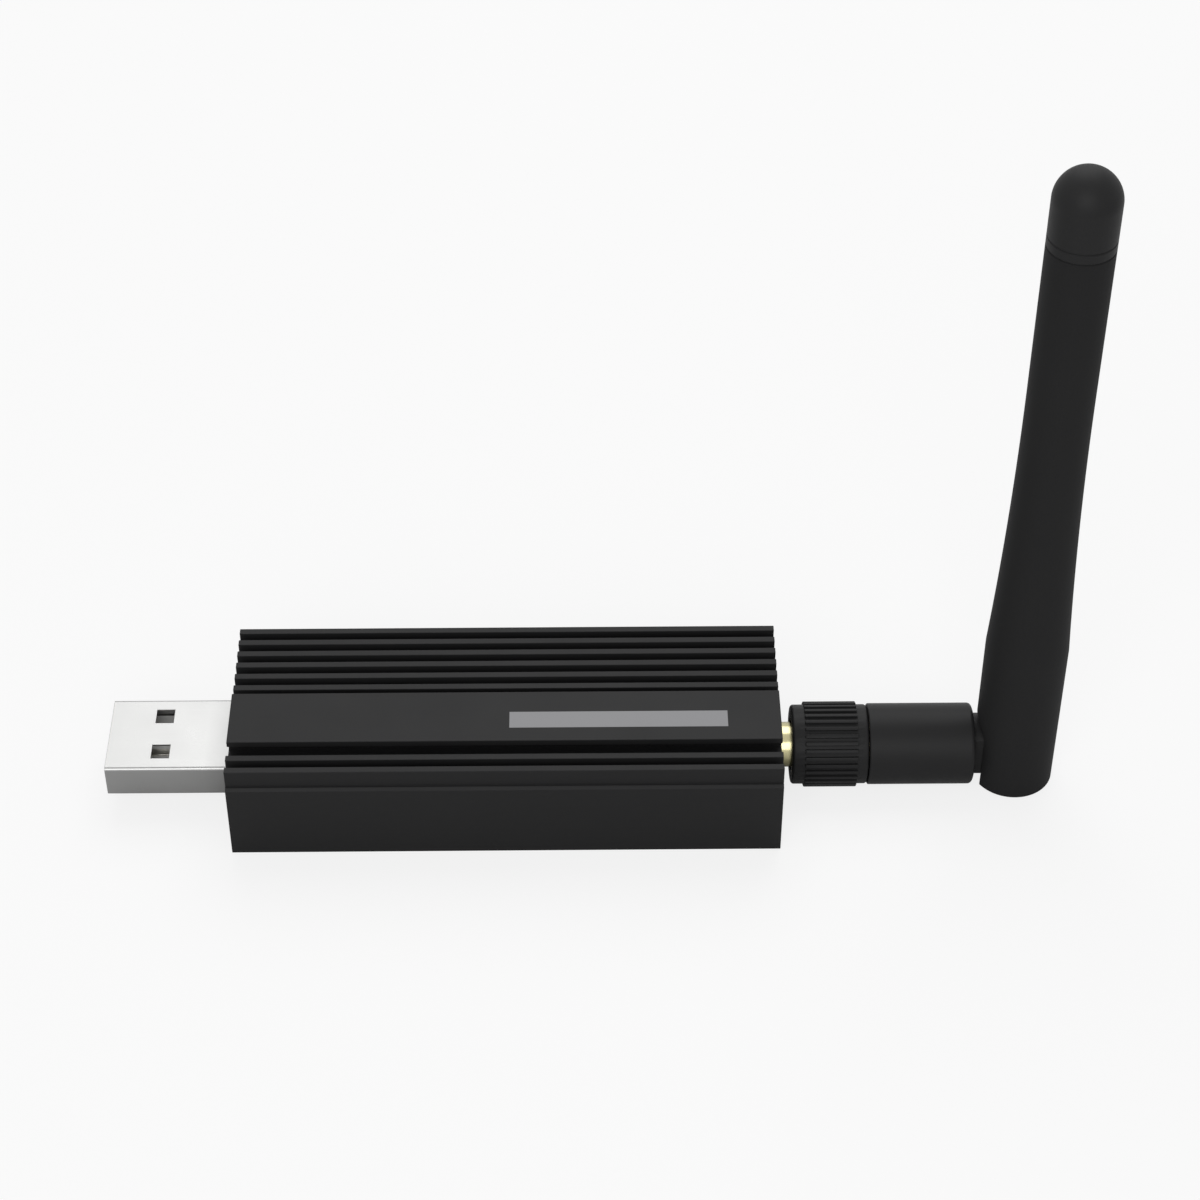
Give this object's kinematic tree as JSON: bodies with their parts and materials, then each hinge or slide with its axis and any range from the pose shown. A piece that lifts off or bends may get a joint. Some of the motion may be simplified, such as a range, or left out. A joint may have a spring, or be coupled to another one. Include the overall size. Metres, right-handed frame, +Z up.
{
  "type": "smart home usb radio stick",
  "caption": "USB radio stick with a finned aluminium housing, a type A plug at one end and a hinged, swivelling whip antenna at the other.",
  "frame": {"origin": "middle of the housing's flat underside", "axes": "+X along the stick from the USB plug to the antenna, +Z up out of the finned side, -Y towards the side with two fins"},
  "size_m": [0.1159, 0.026, 0.0895],
  "materials": {
    "dark_anodised": "fine bead-blasted, dark grey anodised",
    "screw_steel": "black zinc plated, slightly glossy",
    "circuit_board": "green solder mask over glass-fibre board",
    "plug_steel": "nickel plated, fine rolled grain",
    "plug_resin": "moulded white, satin",
    "gold_contact": "gold plated, bright",
    "chip_resin": "moulded black epoxy, matt",
    "crystal_can": "nickel plated can",
    "ceramic": "fired ceramic with tinned ends",
    "lamp_resin": "clear cast resin",
    "button_resin": "moulded, satin",
    "gold_jack": "turned, gold plated, bright",
    "core_resin": "turned white fluoropolymer",
    "plated_brass": "turned, thin gold plating",
    "spring_bronze": "rolled spring bronze",
    "grip_resin": "moulded black, satin",
    "coax_jacket": "extruded brown fluoropolymer",
    "barrel_resin": "moulded black, satin",
    "whip_resin": "moulded black, fine satin",
    "radiator_brass": "drawn tube and wire"
  },
  "bodies": {
    "stick": {"finned_housing": "dark_anodised", "usb_end_plate": "dark_anodised", "antenna_end_plate": "dark_anodised", "end_screws": "screw_steel", "main_board": "circuit_board", "usb_shell": "plug_steel", "usb_insulator": "plug_resin", "usb_contacts": "gold_contact", "bridge_chip": "chip_resin", "radio_chip": "chip_resin", "crystals": "crystal_can", "regulator": "chip_resin", "board_passives": "ceramic", "status_leds": "lamp_resin", "button_base": "crystal_can", "antenna_jack": "gold_jack", "jack_insulator": "core_resin", "jack_contact": "gold_contact"},
    "antenna_carrier": {"plug_ferrule": "plated_brass", "plug_insulator": "core_resin", "plug_pin": "gold_contact", "retaining_ring": "spring_bronze", "feed_coax": "coax_jacket"},
    "nut": {"coupling_nut": "plated_brass", "nut_grip": "grip_resin"},
    "swivel": {"swivel_barrel": "barrel_resin"},
    "whip": {"whip_sheath": "whip_resin", "tip_cap": "whip_resin", "whip_coax": "coax_jacket", "dipole_sleeve": "radiator_brass", "radiator_wire": "radiator_brass"},
    "boot_button": {"button_cap": "button_resin"}
  },
  "joints": [
    {"name": "antenna_slide", "type": "slide", "parent": "stick", "child": "antenna_carrier", "axis": [1, 0, 0], "range_m": [0, 0.006]},
    {"name": "nut_turn", "type": "hinge", "parent": "antenna_carrier", "child": "nut", "pos_m": [0.0395, 0, 0.00483], "axis": [1, 0, 0], "range_deg": [0, 3062]},
    {"name": "barrel_swivel", "type": "hinge", "parent": "antenna_carrier", "child": "swivel", "pos_m": [0.0506, 0, 0.00483], "axis": [1, 0, 0], "range_deg": [-180, 180]},
    {"name": "whip_tilt", "type": "hinge", "parent": "swivel", "child": "whip", "pos_m": [0.0624, 0, 0.00483], "axis": [0, 1, 0], "range_deg": [0, 90]},
    {"name": "boot_button", "type": "slide", "parent": "stick", "child": "boot_button", "axis": [0, 0, -1], "range_m": [0, 0.00025], "stiffness_N_per_m": 1000, "springref_m": -0.0003}
  ],
  "couplings": [
    {"joint": "nut_turn", "follows": "antenna_slide", "rad_per_m": 8904.7}
  ]
}
